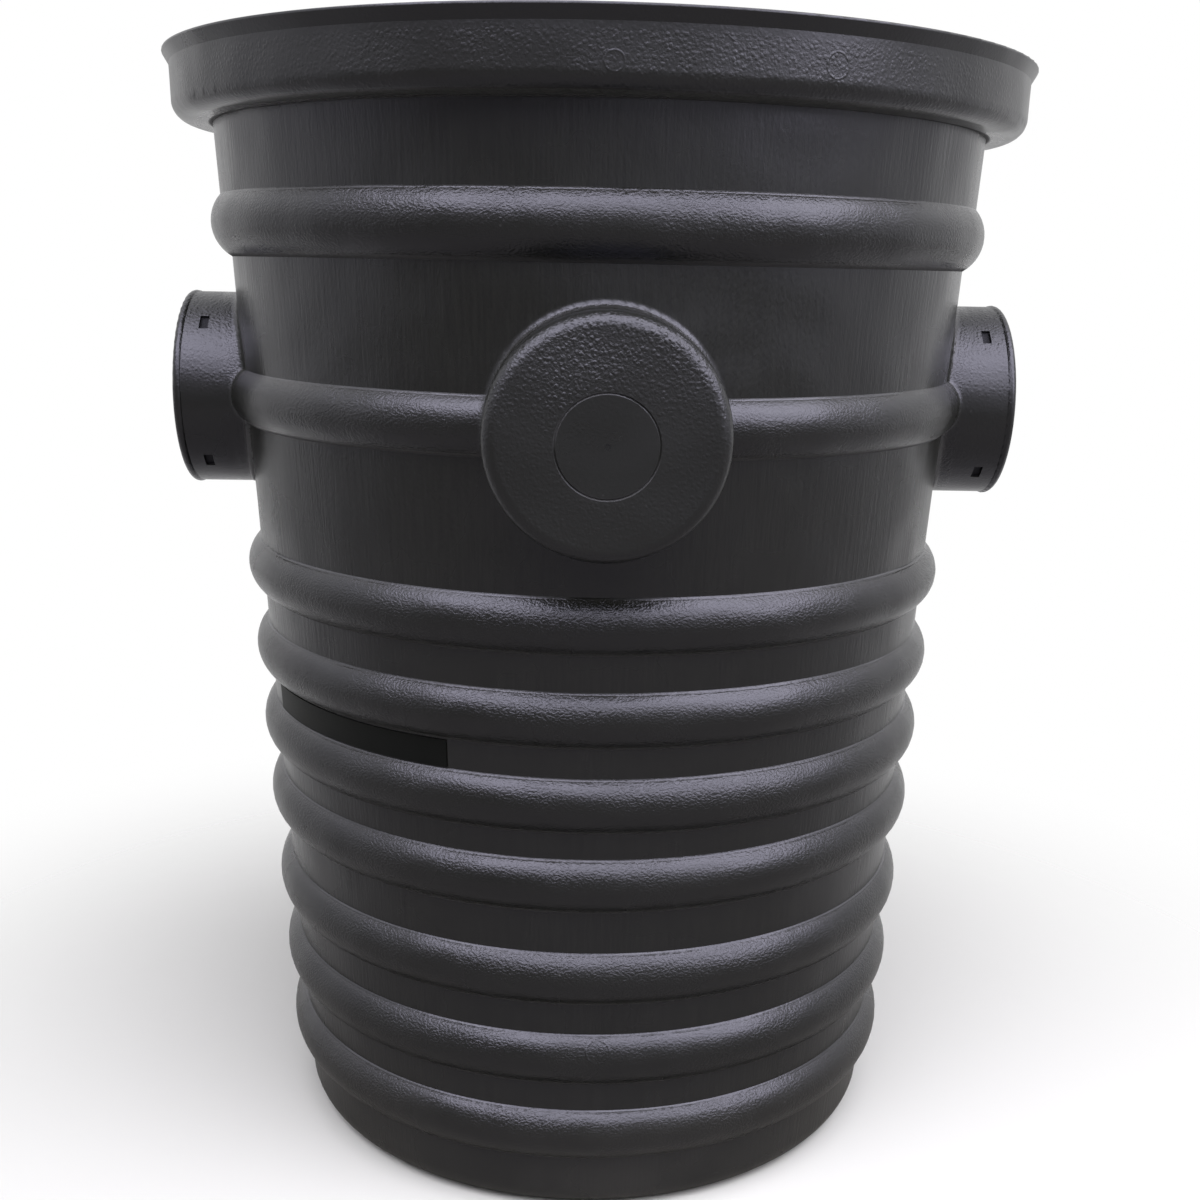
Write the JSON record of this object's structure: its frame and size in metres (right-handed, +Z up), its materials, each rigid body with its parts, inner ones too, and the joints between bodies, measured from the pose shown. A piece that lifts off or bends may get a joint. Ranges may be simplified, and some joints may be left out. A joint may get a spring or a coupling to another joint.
{
  "type": "sump basin",
  "caption": "Tapered round sump pit liner in black plastic with hoop ribs, a wide rim that seats a lid, open side pipe stubs, a closed front stub and a blank film label.",
  "frame": {"origin": "middle of the underside, on the ground", "axes": "+Z up the basin's axis to its open top, X along the two open pipe stubs, -Y towards the closed stub"},
  "size_m": [0.4819, 0.482, 0.61],
  "materials": {
    "black_plastic": "satin moulded polyethylene, pebbled on the rim and the closed stub",
    "label_film": "plain dark film"
  },
  "bodies": {
    "root": {"basin": "black_plastic", "blank_label": "label_film"}
  },
  "joints": []
}
